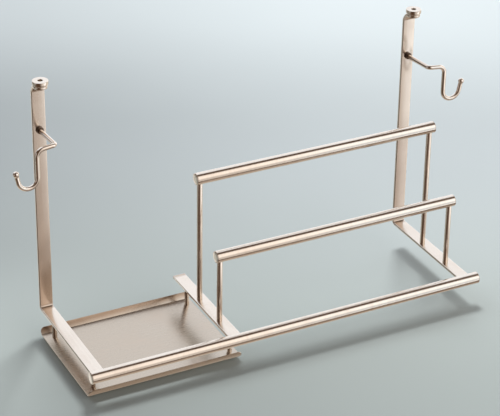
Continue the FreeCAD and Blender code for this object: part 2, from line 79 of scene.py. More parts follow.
# ---------------------------------------------------------------------------------------------
# Sizes and colours


def length_property(name, description, default):
    """A length of at least 0.1 mm."""
    return bpy.props.FloatProperty(
        name=name, description=description, default=default, min=0.0001, unit="LENGTH",
    )


def angle_property(name, description, degrees):
    """An angle."""
    return bpy.props.FloatProperty(
        name=name, description=description, default=math.radians(degrees), subtype="ANGLE",
    )


def colour_property(name, description, default):
    """A colour."""
    return bpy.props.FloatVectorProperty(
        name=name, description=description, default=default, size=3, min=0, subtype="COLOR",
    )


def place_property(name, description, default):
    """A place in the frame's own axes."""
    return bpy.props.FloatVectorProperty(
        name=name, description=description, default=default, size=3,
        subtype="TRANSLATION", unit="LENGTH",
    )


class RackSizes(bpy.types.PropertyGroup):
    """Sizes of the rack's details. Every other size and place comes from the frame."""

    bar_thickness: length_property("Flat bar thickness", "Thickness of the straps and arms", 0.004)
    bar_edge: length_property(
        "Flat bar edge", "Rounding along the edges of the straps and arms", 0.0011,
    )
    bend_radius: length_property("Bend radius", "Inside radius of the bends in a strap", 0.003)
    crank_angle: angle_property(
        "Crank angle", "Lean of the cranked top of a strap, from upright", 35,
    )
    crank_start: length_property(
        "Crank start", "Top of the straight strap, below the mount face", 0.018,
    )
    eye_corner: length_property(
        "Eye corner", "Rounding of the front corners of a strap's eye", 0.0088,
    )
    eye_hole: length_property("Eye hole", "Radius of the hole through a strap's eye", 0.004)
    arm_corner: length_property(
        "Arm corner", "Rounding of the rear corners of the middle arm", 0.0012,
    )
    tube_wall: length_property("Tube wall", "Wall thickness of the three tubes", 0.0015)
    tube_edge: length_property("Tube edge", "Rounding at the ends of the tubes and caps", 0.0004)
    plug_length: length_property("Plug length", "Length of an end cap inside its tube", 0.006)
    sheet: length_property("Tray sheet", "Thickness of the tray", 0.0015)
    lip_lean: angle_property("Lip lean", "Lean of the tray's lips, from upright", 27)
    lip_corner: length_property("Lip corner", "Rounding of the corners of the tray's lips", 0.0058)
    rod_radius: length_property(
        "Hook rod radius", "Radius of the rod that the hooks are bent from", 0.003,
    )
    hook_rise: length_property("Hook rise", "Rise of the hook rod on its way forward", 0.0038)
    hook_side: length_property("Hook side run", "Sideways run of a hook", 0.025)
    hook_sag: length_property("Hook sag", "Fall of the sideways run of a hook", 0.0028)
    hook_root: length_property(
        "Hook root", "Level start of the hook rod, in front of its collar", 0.007,
    )
    hook_root_bend: length_property(
        "Hook root bend", "Bend where the hook rod begins to rise", 0.012,
    )
    hook_front_bend: length_property(
        "Hook front bend", "Bend from the forward run into the sideways run", 0.0045,
    )
    hook_drop_bend: length_property(
        "Hook drop bend", "Bend from the sideways run into the drop", 0.010,
    )
    curl_radius: length_property("Curl radius", "Curl of a hook, at the rod's centre line", 0.013)
    tip_lean: angle_property("Tip lean", "Outward lean of a hook's tip, from upright", 12)
    tip_length: length_property("Tip length", "Straight end of a hook after its curl", 0.0132)
    ball_radius: length_property("Ball radius", "Radius of the ball on a hook's tip", 0.004)
    bush_hole: length_property(
        "Mounting hole", "Radius of the hole through a mounting bush", 0.00325,
    )
    bush_neck: length_property(
        "Bush neck", "Radius of a bush where it fills the washer and the eye", 0.004,
    )
    post_screw_head: length_property("Post screw head", "Radius of a post screw's head", 0.0035)
    post_screw_shank: length_property("Post screw shank", "Radius of a post screw's shank", 0.002)
    tray_screw_head: length_property("Tray screw head", "Radius of a tray screw's head", 0.0032)
    tray_screw_shank: length_property("Tray screw shank", "Radius of a tray screw's shank", 0.0016)
    nut_radius: length_property("Nut", "Radius of a hook's nut over its corners", 0.0046)
    nut_height: length_property("Nut height", "Height of a hook's nut, under its dome", 0.0033)


class RackFinish(bpy.types.PropertyGroup):
    """Colours of the metals and of the floor."""

    nickel: colour_property(
        "Satin nickel", "Colour of the flat bars and tubes", (0.79, 0.70, 0.615),
    )
    tray: colour_property("Tray nickel", "Colour of the tray sheet", (0.52, 0.445, 0.37))
    shaded: colour_property(
        "Toned nickel", "Colour of the nickel where the plating is darker", (0.60, 0.46, 0.36),
    )
    # Painted shade: the brown that the strap feet and the tray's rear lip are darkened toward, standing in
    # for their shade.
    painted_shade_brown: colour_property(
        "Bronzed nickel", "Colour of the nickel where its plating is brownest", (0.30, 0.20, 0.135),
    )
    rubbed: colour_property(
        "Rubbed nickel", "Colour of the edges that hands have rubbed bright", (0.9, 0.84, 0.77),
    )
    blackened: colour_property(
        "Blackened nickel", "Colour of the collars at the roots of the hooks", (0.12, 0.085, 0.065),
    )
    steel: colour_property("Fastener steel", "Colour of the screws and nuts", (0.62, 0.60, 0.57))
    roughness: bpy.props.FloatProperty(
        name="Satin roughness", description="Mean roughness of the satin nickel",
        default=0.2, min=0.02, max=1, subtype="FACTOR",
    )
    floor_near: colour_property(
        "Near floor tint", "Tint of the floor in front of the rack", (0.89, 1.0, 0.975),
    )
    floor_far: colour_property(
        "Far floor tint", "Tint of the floor behind the rack", (0.905, 1.0, 1.03),
    )
    floor_tone: bpy.props.FloatProperty(
        name="Floor tone", description="Darkest tone of the floor, before its tint",
        default=0.36, min=0, max=1, subtype="FACTOR",
    )


class RackStage(bpy.types.PropertyGroup):
    """The floor's place, the lamp and the camera."""

    floor_gap: length_property("Floor gap", "Height of the tray over the floor", 0.0014)
    lamp_power: bpy.props.FloatProperty(
        name="Lamp power", description="Power of the overhead softbox",
        default=22, min=0, unit="POWER",
    )
    lamp_size: length_property("Lamp size", "Side of the square overhead softbox", 0.42)
    lamp_place: place_property("Lamp place", "Where the overhead softbox hangs", (0.45, 0.62, 1.3))
    lamp_aim: place_property("Lamp aim", "The place that the softbox points at", (0, -0.08, -0.35))
    camera_place: place_property(
        "Camera place", "Where the camera stands", (-1.01715, -2.0177, 0.9866),
    )
    camera_down: angle_property("Camera tilt", "How far the camera looks down", 26.745)
    camera_turn: angle_property(
        "Camera turn", "How far the camera turns to the right of straight ahead", 27.288,
    )
    camera_roll: angle_property(
        "Camera roll", "Roll of the camera about its own line of sight", 0.838,
    )
    camera_lens: bpy.props.FloatProperty(
        name="Camera lens", description="Focal length on a 36 mm wide sensor",
        default=136.8, min=10, unit="CAMERA",
    )
    camera_shift: bpy.props.FloatProperty(
        name="Camera shift", description="Upright shift of the lens, in sensor widths",
        default=-0.12,
    )


def sizes():
    """The rack's detail sizes."""
    return bpy.context.scene.rack_sizes


def finish():
    """The rack's colours."""
    return bpy.context.scene.rack_finish


def stage():
    """The floor, lamp and camera settings."""
    return bpy.context.scene.rack_stage


# ---------------------------------------------------------------------------------------------
# Shader maths


class Signal:
    """A number that varies over a surface: a socket that can be used in sums."""

    def __init__(self, shader, socket):
        self.shader = shader
        self.socket = socket

    def __add__(self, other):
        return self.shader.maths("ADD", self, other)

    def __radd__(self, other):
        return self.shader.maths("ADD", other, self)

    def __sub__(self, other):
        return self.shader.maths("SUBTRACT", self, other)

    def __rsub__(self, other):
        return self.shader.maths("SUBTRACT", other, self)

    def __mul__(self, other):
        return self.shader.maths("MULTIPLY", self, other)

    def __rmul__(self, other):
        return self.shader.maths("MULTIPLY", other, self)

    def __abs__(self):
        return self.shader.maths("ABSOLUTE", self)


class Shader:
    """The node tree of a material or of the world."""

    def __init__(self, owner):
        owner.use_nodes = True
        self.tree = owner.node_tree
        self.tree.nodes.clear()

    def node(self, kind, settings=None, inputs=None):
        """Adds a node: its settings first, then the values or links of its sockets."""
        added = self.tree.nodes.new(kind)
        for name, setting in (settings or {}).items():
            setattr(added, name, setting)
        for name, given in (inputs or {}).items():
            if isinstance(given, Signal):
                given = given.socket
            if isinstance(given, bpy.types.NodeSocket):
                self.tree.links.new(given, added.inputs[name])
            else:
                added.inputs[name].default_value = given
        return added

    def signal(self, kind, output, settings=None, inputs=None):
        """Adds a node and gives one of its outputs as a number for sums."""
        return Signal(self, self.node(kind, settings, inputs).outputs[output])

    def maths(self, operation, *terms):
        """Adds one Math node."""
        inputs = dict(enumerate(terms))
        return self.signal("ShaderNodeMath", "Value", {"operation": operation}, inputs)

    def ramp(self, signal, low, high):
        """Rises smoothly from 0 at low to 1 at high."""
        settings = {"interpolation_type": "SMOOTHSTEP"}
        inputs = {"Value": signal, "From Min": low, "From Max": high}
        return self.signal("ShaderNodeMapRange", "Result", settings, inputs)

    def position(self):
        """The three object coordinates, as signals."""
        place = self.node("ShaderNodeTexCoord").outputs["Object"]
        split = self.node("ShaderNodeSeparateXYZ", inputs={"Vector": place})
        return [Signal(self, split.outputs[axis]) for axis in "XYZ"]

    def vector(self, x, y, z):
        """Three signals or numbers as a vector."""
        return self.node("ShaderNodeCombineXYZ", inputs={"X": x, "Y": y, "Z": z}).outputs[0]

    def noise(self, vector, scale=1.0, detail=2.0, roughness=0.5):
        """Cloudy noise from 0 to 1."""
        inputs = {"Vector": vector, "Scale": scale, "Detail": detail, "Roughness": roughness}
        return self.signal("ShaderNodeTexNoise", "Fac", None, inputs)

    def blend(self, factor, first, second):
        """A colour between two, by a factor."""
        settings = {"data_type": "RGBA"}
        # Of a Mix node's sockets, 6 and 7 are the two colours and output 2 is the mixed one.
        inputs = {"Factor": factor, 6: first, 7: second}
        return self.node("ShaderNodeMix", settings, inputs).outputs[2]


def opaque(colour):
    """A colour property as four numbers."""
    return (*colour, 1.0)


def satin_metal(name, colour, grain_scale, roughness, grain_depth=0.00002, edge=None, painted_shade=None):
    """Brushed metal. grain_scale turns a place into the grain's own space: a large number runs
    across the grain. edge is (centre, half width) of a flat bar whose edges are rubbed bright.
    The shading function passed last gives how far the colour is darkened toward a brown at a place:
    painted shade."""
    found = bpy.data.materials.get(name)
    if found:
        return found
    material = bpy.data.materials.new(name)
    shader = Shader(material)
    x, y, z = shader.position()
    # The brushed grain, and broader streaks along it.
    grain = shader.noise(shader.vector(*grain_scale(x, y, z)), 1.0, 3.0, 0.65)
    streaks = shader.noise(shader.vector(*(item * 0.12 for item in grain_scale(x, y, z))), 1.0, 2.0)
    # Cloudy plating, and the small marks of handling.
    place = shader.vector(x, y, z)
    clouds = shader.noise(place, 22.0, 3.0)
    marks = shader.noise(place, 160.0, 4.0, 0.7)
    patches = shader.ramp(clouds * 0.6 + streaks * 0.4, 0.42, 0.78) * 0.3 + (grain - 0.5) * 0.25
    handled = shader.ramp(marks, 0.6, 0.75) * 0.05
    varied = roughness + (grain - 0.5) * 0.12 + (clouds - 0.5) * 0.1 + handled
    base = shader.blend(patches, opaque(colour), opaque(finish().shaded))
    # Painted shade: the colour darkens toward a brown by the shading function's amount.
    if painted_shade:
        base = shader.blend(painted_shade(shader, x, y, z), base, opaque(finish().painted_shade_brown))
    if edge:
        centre, half_width = edge
        across = abs(abs(x) - centre)
        rubbed = shader.ramp(across, half_width - 0.0016, half_width - 0.0004) * (0.4 + marks * 0.5)
        varied = varied - rubbed * 0.06
        base = shader.blend(rubbed * 0.6, base, opaque(finish().rubbed))
    bump = shader.node("ShaderNodeBump", None, {
        "Strength": 0.35, "Distance": grain_depth, "Height": grain + marks * 0.15,
    })
    surface = shader.node("ShaderNodeBsdfPrincipled", None, {
        "Base Color": base, "Metallic": 1.0, "Roughness": varied, "Normal": bump.outputs["Normal"],
    })
    shader.node("ShaderNodeOutputMaterial", None, {"Surface": surface.outputs[0]})
    return material


def flat_bar_metal(centre, half_width):
    """Nickel with a long grain that follows a strap up and an arm forward, with painted shade toward the
    foot of each strap.
    """
    name = "satin nickel flat bar %d" % round(centre * 1000)

    def painted_strap_shade(shader, x, y, z):
        # Painted shade: darker toward the foot of each strap, standing in for the shaded floor and tray
        # that it reflects.
        return shader.ramp(0 - z, 0.0, 0.32) * shader.ramp(y, 0.0, 0.006) * 0.5

    return satin_metal(
        name, finish().nickel, lambda x, y, z: (x * 2600, (z - y) * 26, 0.0),
        finish().roughness + 0.04, edge=(centre, half_width), painted_shade=painted_strap_shade,
    )


def tube_metal():
    """Nickel with a fine turned grain round the tubes."""
    return satin_metal(
        "satin nickel tube", finish().nickel, lambda x, y, z: (x * 1900, y * 90, z * 90),
        finish().roughness, 0.000012,
    )


def post_metal():
    """Nickel with a fine turned grain round the posts and spacers."""
    return satin_metal(
        "satin nickel post", finish().nickel, lambda x, y, z: (x * 90, y * 90, z * 1900),
        finish().roughness - 0.02, 0.000012,
    )


def hook_metal():
    """Brighter nickel with almost no grain."""
    return satin_metal(
        "bright nickel hook", finish().nickel, lambda x, y, z: (x * 700, y * 700, z * 700),
        finish().roughness - 0.1, 0.000005,
    )


def collar_metal():
    """Blackened nickel of the collars at the roots of the hooks."""
    return satin_metal(
        "blackened nickel collar", finish().blackened,
        lambda x, y, z: (x * 900, y * 900, z * 900), finish().roughness + 0.12,
    )


def tray_metal():
    """Darker nickel sheet with its grain along the tray, and painted shade that darkens its rear lip to a
    brown.
    """
    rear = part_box("tray")[1].y

    def painted_lip_shade(shader, x, y, z):
        # Painted shade: the rear lip is darkened to a brown in streaks along it, standing in for the dark
        # it reflects.
        along = shader.noise(shader.vector(x * 30, 0.0, z * 60), 1.0, 2.0)
        return shader.ramp(y, rear - 0.008, rear - 0.004) * (0.5 + along * 0.6)

    return satin_metal(
        "satin nickel tray", finish().tray, lambda x, y, z: (x * 24, y * 2300, z * 2300),
        finish().roughness + 0.08, 0.00003, painted_shade=painted_lip_shade,
    )


def fastener_metal():
    """Plain bright steel of the screws and nuts."""
    return satin_metal(
        "fastener steel", finish().steel, lambda x, y, z: (x * 900, y * 900, z * 900),
        finish().roughness + 0.06,
    )


# ---------------------------------------------------------------------------------------------
# Modelling


def clear_selection():
    """Leaves nothing selected, in object mode."""
    if bpy.context.object and bpy.context.object.mode != "OBJECT":
        bpy.ops.object.mode_set(mode="OBJECT")
    bpy.ops.object.select_all(action="DESELECT")


def apply_place(obj):
    """Puts the selected object's place, turn and size into its mesh."""
    bpy.ops.object.transform_apply(location=True, rotation=True, scale=True)
    return obj


def begin_edit(everything=True):
    """Enters edit mode with everything or nothing selected."""
    bpy.ops.object.mode_set(mode="EDIT")
    bpy.ops.mesh.select_mode(type="VERT")
    bpy.ops.mesh.select_all(action="SELECT" if everything else "DESELECT")


def end_edit():
    """Closes the mesh: merges doubles, points the faces outwards and leaves edit mode."""
    bpy.ops.mesh.select_all(action="SELECT")
    bpy.ops.mesh.remove_doubles(threshold=1e-6)
    bpy.ops.mesh.normals_make_consistent(inside=False)
    bpy.ops.object.mode_set(mode="OBJECT")


def select_vertices(obj, test):
    """Selects the vertices whose place passes a test, and what lies between them."""
    bpy.ops.mesh.select_mode(type="VERT")
    bpy.ops.mesh.select_all(action="DESELECT")
    mesh = bmesh.from_edit_mesh(obj.data)
    for vertex in mesh.verts:
        vertex.select_set(test(vertex.co))
    mesh.select_flush(True)
    bmesh.update_edit_mesh(obj.data)


def select_edges(obj, test):
    """Selects the edges whose two ends pass a test."""
    bpy.ops.mesh.select_mode(type="EDGE")
    bpy.ops.mesh.select_all(action="DESELECT")
    mesh = bmesh.from_edit_mesh(obj.data)
    for edge in mesh.edges:
        edge.select_set(test(edge.verts[0].co, edge.verts[1].co))
    bmesh.update_edit_mesh(obj.data)


def extrude(step):
    """Extrudes the selection by a step."""
    bpy.ops.mesh.extrude_region_move(TRANSFORM_OT_translate={"value": step})


def run_along(points, radii, steps=10):
    """Extrudes the selected section through the points, and spins it round each inner one."""
    here = points[0]
    for before, corner, after, radius in zip(points, points[1:], points[2:], radii):
        into = (corner - before).normalized()
        out = (after - corner).normalized()
        turn = into.angle(out)
        leg = radius * math.tan(turn / 2)
        extrude(corner - into * leg - here)
        axis = into.cross(out).normalized()
        centre = corner - into * leg + axis.cross(into) * radius
        bpy.ops.mesh.spin(steps=steps, angle=turn, center=centre, axis=-axis)
        here = corner + out * leg
    extrude(points[-1] - here)


def modify(obj, kind, **settings):
    """Adds a modifier and applies it."""
    bpy.context.view_layer.objects.active = obj
    modifier = obj.modifiers.new(kind.title(), kind)
    for name, setting in settings.items():
        setattr(modifier, name, setting)
    bpy.ops.object.modifier_apply(modifier=modifier.name)


def round_edges(obj, width, segments=3, above=40):
    """Rounds every edge sharper than an angle in degrees."""
    modify(
        obj, "BEVEL", width=width, segments=segments, limit_method="ANGLE",
        angle_limit=math.radians(above), harden_normals=False,
    )


def softened(rings, radius, steps=4, closed=False):
    """The rings of a turned piece, with each corner of their outline rounded. An open outline
    keeps its two ends as they are."""
    corners = [Vector(ring) for ring in rings]
    last = len(corners) - 1
    rounded = []
    for index, corner in enumerate(corners):
        if not closed and index in (0, last):
            rounded.append(corner)
            continue
        before = corners[index - 1] - corner
        after = corners[(index + 1) % len(corners)] - corner
        reach = radius / max(math.tan(before.angle(after) / 2), 0.1)
        leg = min(reach, before.length * 0.45, after.length * 0.45)
        into = corner + before.normalized() * leg
        out = corner + after.normalized() * leg
        for step in range(steps + 1):
            part = step / steps
            rounded.append(into.lerp(corner, part).lerp(corner.lerp(out, part), part))
    return [tuple(ring) for ring in rounded]


def turned(rings, centre=(0, 0, 0), axis=Z_AXIS, closed=False, segments=64):
    """A round piece about an axis: a circle extruded and resized through rings of
    (radius, height). Open rings end in flat faces. Closed rings make a hollow piece."""
    clear_selection()
    radius, height = rings[0]
    bpy.ops.mesh.primitive_circle_add(vertices=segments, radius=radius, location=(0, 0, height))
    obj = apply_place(bpy.context.object)
    begin_edit()
    if not closed:
        bpy.ops.mesh.edge_face_add()
    for next_radius, next_height in list(rings[1:]) + ([rings[0]] if closed else []):
        extrude((0, 0, next_height - height))
        factor = next_radius / radius
        bpy.ops.transform.resize(value=(factor, factor, 1), center_override=(0, 0, next_height))
        radius, height = next_radius, next_height
    end_edit()
    obj.rotation_mode = "QUATERNION"
    obj.rotation_quaternion = Z_AXIS.rotation_difference(Vector(axis))
    obj.location = centre
    return apply_place(obj)


def cut(obj, cutter):
    """Cuts one closed piece out of another, and removes the cutter."""
    modify(obj, "BOOLEAN", operation="DIFFERENCE", solver="EXACT", object=cutter)
    bpy.data.objects.remove(cutter)


def drill(obj, centre, radius, low, high):
    """Cuts an upright round hole between two heights."""
    drilled = turned([(radius, low), (radius, high)], (centre[0], centre[1], 0))
    cut(obj, drilled)


def join(pieces):
    """Joins pieces into the first one."""
    clear_selection()
    for piece in pieces:
        piece.select_set(True)
    bpy.context.view_layer.objects.active = pieces[0]
    bpy.ops.object.join()
    return pieces[0]


def deliver(obj, name, material, slot, *nodes, smooth=35):
    """Names, paints and smooths a finished piece, and puts it in the place of its CAD nodes."""
    clear_selection()
    obj.name = name
    obj.data.name = name
    obj.data.materials.clear()
    obj.data.materials.append(material)
    obj.select_set(True)
    bpy.context.view_layer.objects.active = obj
    bpy.ops.object.shade_smooth_by_angle(angle=math.radians(smooth))
    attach(obj, "root")
    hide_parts(*nodes)
    return obj


def middle_of(node):
    """The middle of a CAD node's box."""
    low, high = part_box(node)
    return (low + high) / 2


# ---------------------------------------------------------------------------------------------
# Pieces


def post_screw_places(low_x, high_x):
    """Where the post screws go up through an arm between two sideways limits."""
    places = []
    for bar in ("rear_bar", "middle_bar"):
        for side in SIDES:
            place = middle_of("%s_post_%s" % (bar, side))
            if low_x < place.x < high_x:
                places.append(place)
    return places


def recess_arm(obj, node):
    """Cuts the recesses for the post screws' heads in the underside of an arm."""
    low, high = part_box(node)
    clearance = 0.0001
    depth = 0.002
    for place in post_screw_places(low.x, high.x):
        drill(obj, place, sizes().post_screw_head + clearance, low.z - depth / 2, low.z + depth)


class RACK_OT_straps(bpy.types.Operator):
    """Bend the two hanger straps, each with its arm and its eye, from flat bar"""

    bl_idname = "rack.straps"
    bl_label = "Hanger straps"

    def execute(self, context):
        for side in SIDES:
            self.bend_strap(side)
        return {"FINISHED"}

    def bend_strap(self, side):
        size = sizes()
        node = "strap_" + side
        low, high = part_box(node)
        x = (low.x + high.x) / 2
        half = size.bar_thickness / 2
        crank_z = -size.crank_start + half * math.tan(size.crank_angle / 2)
        eye_z = high.z - half
        eye_y = high.y - half - (eye_z - crank_z) * math.tan(size.crank_angle)
        eye_front = -(high.x - low.x) / 2
        clear_selection()
        bpy.ops.mesh.primitive_plane_add(
            size=1, location=(x, low.y, low.z + half), rotation=(math.pi / 2, 0, 0)
        )
        obj = bpy.context.object
        obj.scale = (high.x - low.x, size.bar_thickness, 1)
        apply_place(obj)
        begin_edit()
        path = [
            Vector((x, low.y, low.z + half)),
            Vector((x, high.y - half, low.z + half)),
            Vector((x, high.y - half, crank_z)),
            Vector((x, eye_y, eye_z)),
            Vector((x, eye_front, eye_z)),
        ]
        run_along(path, [size.bend_radius + half] * 3)

        def eye_corner(first, second):
            at_front = abs(first.y - eye_front) < NEAR and abs(second.y - eye_front) < NEAR
            return at_front and abs(first.x - second.x) < NEAR

        select_edges(obj, eye_corner)
        bpy.ops.mesh.bevel(offset=size.eye_corner, segments=12, affect="EDGES")
        end_edit()
        round_edges(obj, size.bar_edge, 4)
        past_eye = size.bar_thickness * 2.5
        drill(obj, (x, 0), size.eye_hole, high.z - past_eye, high.z + past_eye)
        if side == "right":
            recess_arm(obj, node)
        material = flat_bar_metal(abs(x), (high.x - low.x) / 2)
        deliver(obj, "hanger_strap_" + side, material, "flat_bar", node)


class RACK_OT_middle_arm(bpy.types.Operator):
    """Cut the short middle arm from flat bar and round its rear corners"""

    bl_idname = "rack.middle_arm"
    bl_label = "Middle arm"

    def execute(self, context):
        low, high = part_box("arm_middle")
        middle = (low + high) / 2
        clear_selection()
        bpy.ops.mesh.primitive_cube_add(size=1, location=middle)
        obj = bpy.context.object
        obj.scale = high - low
        apply_place(obj)
        begin_edit(everything=False)

        def rear_corner(first, second):
            upright = abs(first.x - second.x) < NEAR and abs(first.y - second.y) < NEAR
            return upright and abs(first.y - high.y) < NEAR

        select_edges(obj, rear_corner)
        bpy.ops.mesh.bevel(offset=sizes().arm_corner, segments=4, affect="EDGES")
        end_edit()
        round_edges(obj, sizes().bar_edge, 4)
        recess_arm(obj, "arm_middle")
        material = flat_bar_metal(abs(middle.x), (high.x - low.x) / 2)
        deliver(obj, "middle_arm", material, "flat_bar", "arm_middle")
        return {"FINISHED"}


BARS = ("front_bar", "rear_bar", "middle_bar")


class RACK_OT_tubes(bpy.types.Operator):
    """Turn the three tubes, with their bores and softened ends"""

    bl_idname = "rack.tubes"
    bl_label = "Tubes"

    def execute(self, context):
        size = sizes()
        for bar in BARS:
            low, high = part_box(bar)
            middle = (low + high) / 2
            outer = (high.y - low.y) / 2
            inner = outer - size.tube_wall
            length = high.x - low.x
            wall = [(inner, 0), (outer, 0), (outer, length), (inner, length)]
            rings = softened(wall, size.tube_edge, closed=True)
            obj = turned(rings, (low.x, middle.y, middle.z), X_AXIS, closed=True, segments=96)
            deliver(obj, bar.replace("bar", "tube"), tube_metal(), "tube", bar)
        return {"FINISHED"}


class RACK_OT_end_caps(bpy.types.Operator):
    """Turn the plugs that close the tubes, each with a slightly crowned face"""

    bl_idname = "rack.end_caps"
    bl_label = "End caps"

    def execute(self, context):
        size = sizes()
        crown_edge = 0.0006
        for bar in BARS:
            for side, sign in SIDES.items():
                node = "%s_cap_%s" % (bar, side)
                low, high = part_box(node)
                middle = (low + high) / 2
                radius = (high.y - low.y) / 2
                plug = radius - size.tube_wall
                tube_low, tube_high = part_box(bar)
                start = tube_low.x if side == "left" else tube_high.x
                proud = abs((low.x if side == "left" else high.x) - start)
                outline = [
                    (plug, -size.plug_length),
                    (plug, 0),
                    (radius - 0.0001, 0),
                    (radius, proud * 0.45),
                    (radius * 0.86, proud * 0.85),
                    (radius * 0.5, proud),
                    (radius * 0.1, proud),
                ]
                rings = softened(outline, crown_edge)
                obj = turned(rings, (start, middle.y, middle.z), X_AXIS * sign, segments=96)
                name = "%s_end_cap_%s" % (bar.split("_")[0], side)
                deliver(obj, name, tube_metal(), "end_cap", node, smooth=50)
        return {"FINISHED"}


PIN_EDGE = 0.0003


def upright_pin(node):
    """A round pin with softened ends that fills the upright box of a CAD node."""
    low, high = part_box(node)
    middle = (low + high) / 2
    radius = (high.x - low.x) / 2
    length = high.z - low.z
    outline = [(radius * 0.5, 0), (radius, 0), (radius, length), (radius * 0.5, length)]
    return turned(softened(outline, PIN_EDGE), (middle.x, middle.y, low.z))


class RACK_OT_posts(bpy.types.Operator):
    """Turn the four posts that carry the hanging bars"""

    bl_idname = "rack.posts"
    bl_label = "Posts"

    def execute(self, context):
        for bar in ("rear_bar", "middle_bar"):
            for side in SIDES:
                node = "%s_post_%s" % (bar, side)
                name = "%s_post_%s" % (bar.split("_")[0], side)
                deliver(upright_pin(node), name, post_metal(), "post", node)
        return {"FINISHED"}


class RACK_OT_spacers(bpy.types.Operator):
    """Turn the four spacers between the arms and the tray"""

    bl_idname = "rack.spacers"
    bl_label = "Tray spacers"

    def execute(self, context):
        for depth in ("rear", "front"):
            for side in SIDES:
                node = "tray_spacer_%s_%s" % (depth, side)
                low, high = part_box(node)
                middle = (low + high) / 2
                radius = (high.x - low.x) / 2
                arm_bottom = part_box("arm_middle")[0].z
                length = arm_bottom - low.z
                spigot = radius * 0.6
                outline = [
                    (radius * 0.5, 0),
                    (radius, 0),
                    (radius, length),
                    (spigot, length),
                    (spigot, high.z - low.z),
                    (spigot * 0.5, high.z - low.z),
                ]
                obj = turned(softened(outline, PIN_EDGE), (middle.x, middle.y, low.z))
                name = "spacer_%s_%s" % (depth, side)
                deliver(obj, name, post_metal(), "post", node)
        return {"FINISHED"}


class RACK_OT_tray(bpy.types.Operator):
    """Fold the tray from one sheet, with a leaning lip at its front and back"""

    bl_idname = "rack.tray"
    bl_label = "Tray"

    def execute(self, context):
        size = sizes()
        low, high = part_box("tray")
        middle = (low + high) / 2
        floor = low.z + size.sheet
        lean = size.lip_lean
        rise = high.z - floor
        # The upper face folds this far from the middle, so that the outer one ends at the box.
        fold = (high.y - low.y) / 2 - rise * math.tan(lean) - size.sheet / math.cos(lean)
        first_width = fold * 1.2
        clear_selection()
        bpy.ops.mesh.primitive_plane_add(size=1, location=(middle.x, middle.y, floor))
        obj = bpy.context.object
        obj.scale = (high.x - low.x, first_width, 1)
        apply_place(obj)
        begin_edit(everything=False)
        for sign in (-1, 1):
            start = middle.y + sign * first_width / 2
            select_vertices(obj, lambda place: abs(place.y - start) < NEAR)
            corner = Vector((middle.x, middle.y + sign * fold, floor))
            slope = Vector((0, sign * math.tan(lean), 1))
            path = [Vector((middle.x, start, floor)), corner, corner + slope * rise]
            run_along(path, [size.sheet], steps=5)
        select_vertices(obj, lambda place: abs(place.z - high.z) < NEAR)
        bpy.ops.mesh.bevel(offset=size.lip_corner, segments=8, affect="VERTICES")
        end_edit()
        modify(obj, "SOLIDIFY", thickness=size.sheet, offset=-1, use_even_offset=True)
        round_edges(obj, size.sheet * 0.2, 2, above=50)
        deliver(obj, "tray_sheet", tray_metal(), "tray_sheet", "tray")
        return {"FINISHED"}


class RACK_OT_hooks(bpy.types.Operator):
    """Bend the two coat hooks from round rod, and add their balls and collars"""

    bl_idname = "rack.hooks"
    bl_label = "Coat hooks"
    inside_strap = 0.002

    def execute(self, context):
        for side, sign in SIDES.items():
            tip, upwards = self.bend_rod(side, sign)
            self.turn_ball(side, tip, upwards)
            self.turn_collar(side)
        return {"FINISHED"}

    def bend_rod(self, side, sign):
        size = sizes()
        node = "hook_" + side
        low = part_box(node)[0]
        collar_low, collar_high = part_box("hook_collar_" + side)
        face = collar_high.y
        root_x = (collar_low.x + collar_high.x) / 2
        root_z = (collar_low.z + collar_high.z) / 2
        front = low.y + size.rod_radius
        curl_z = low.z + size.rod_radius + size.curl_radius
        out_x = root_x + sign * size.hook_side
        tail = Vector((root_x, face + self.inside_strap, root_z))
        clear_selection()
        bpy.ops.mesh.primitive_circle_add(
            vertices=32, radius=size.rod_radius, rotation=(math.pi / 2, 0, 0), location=tail,
        )
        obj = apply_place(bpy.context.object)
        begin_edit()
        bpy.ops.mesh.edge_face_add()
        end_of_run = Vector((out_x, front, curl_z))
        path = [
            tail,
            Vector((root_x, face - size.hook_root, root_z)),
            Vector((root_x, front, root_z + size.hook_rise)),
            Vector((out_x, front, root_z + size.hook_rise - size.hook_sag)),
            end_of_run,
        ]
        bends = [size.hook_root_bend, size.hook_front_bend, size.hook_drop_bend]
        run_along(path, bends, steps=12)
        centre = end_of_run + Vector((sign * size.curl_radius, 0, 0))
        sweep = math.pi - size.tip_lean
        bpy.ops.mesh.spin(steps=28, angle=sweep, center=centre, axis=(0, sign, 0))
        upwards = Vector((sign * math.sin(size.tip_lean), 0, math.cos(size.tip_lean)))
        sideways = Vector((sign * math.cos(size.tip_lean), 0, -math.sin(size.tip_lean)))
        tip = centre + sideways * size.curl_radius + upwards * size.tip_length
        extrude(upwards * size.tip_length)
        end_edit()
        deliver(obj, "coat_hook_" + side, hook_metal(), "hook", node)
        return tip, upwards

    def turn_ball(self, side, tip, upwards):
        radius = sizes().ball_radius
        rod = sizes().rod_radius
        neck = math.asin(rod / radius)
        rings = [(rod * 0.6, -radius), (rod, -radius)]
        steps = 18
        crown = 0.06
        for step in range(steps + 1):
            angle = math.pi - neck - (math.pi - neck - crown) * step / steps
            rings.append((radius * math.sin(angle), radius * math.cos(angle)))
        obj = turned(rings, tip, upwards, segments=40)
        deliver(obj, "hook_ball_end_" + side, hook_metal(), "hook", "hook_ball_" + side, smooth=60)

    def turn_collar(self, side):
        node = "hook_collar_" + side
        low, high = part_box(node)
        middle = (low + high) / 2
        outer = (high.x - low.x) / 2
        inner = sizes().rod_radius
        length = high.y - low.y
        outline = [(inner, 0), (outer, 0), (outer, length), (inner, length)]
        edge = 0.0008
        rings = softened(outline, edge, closed=True)
        obj = turned(rings, (middle.x, high.y, middle.z), -Y_AXIS, closed=True, segments=48)
        deliver(obj, "hook_root_collar_" + side, collar_metal(), "hook", node)


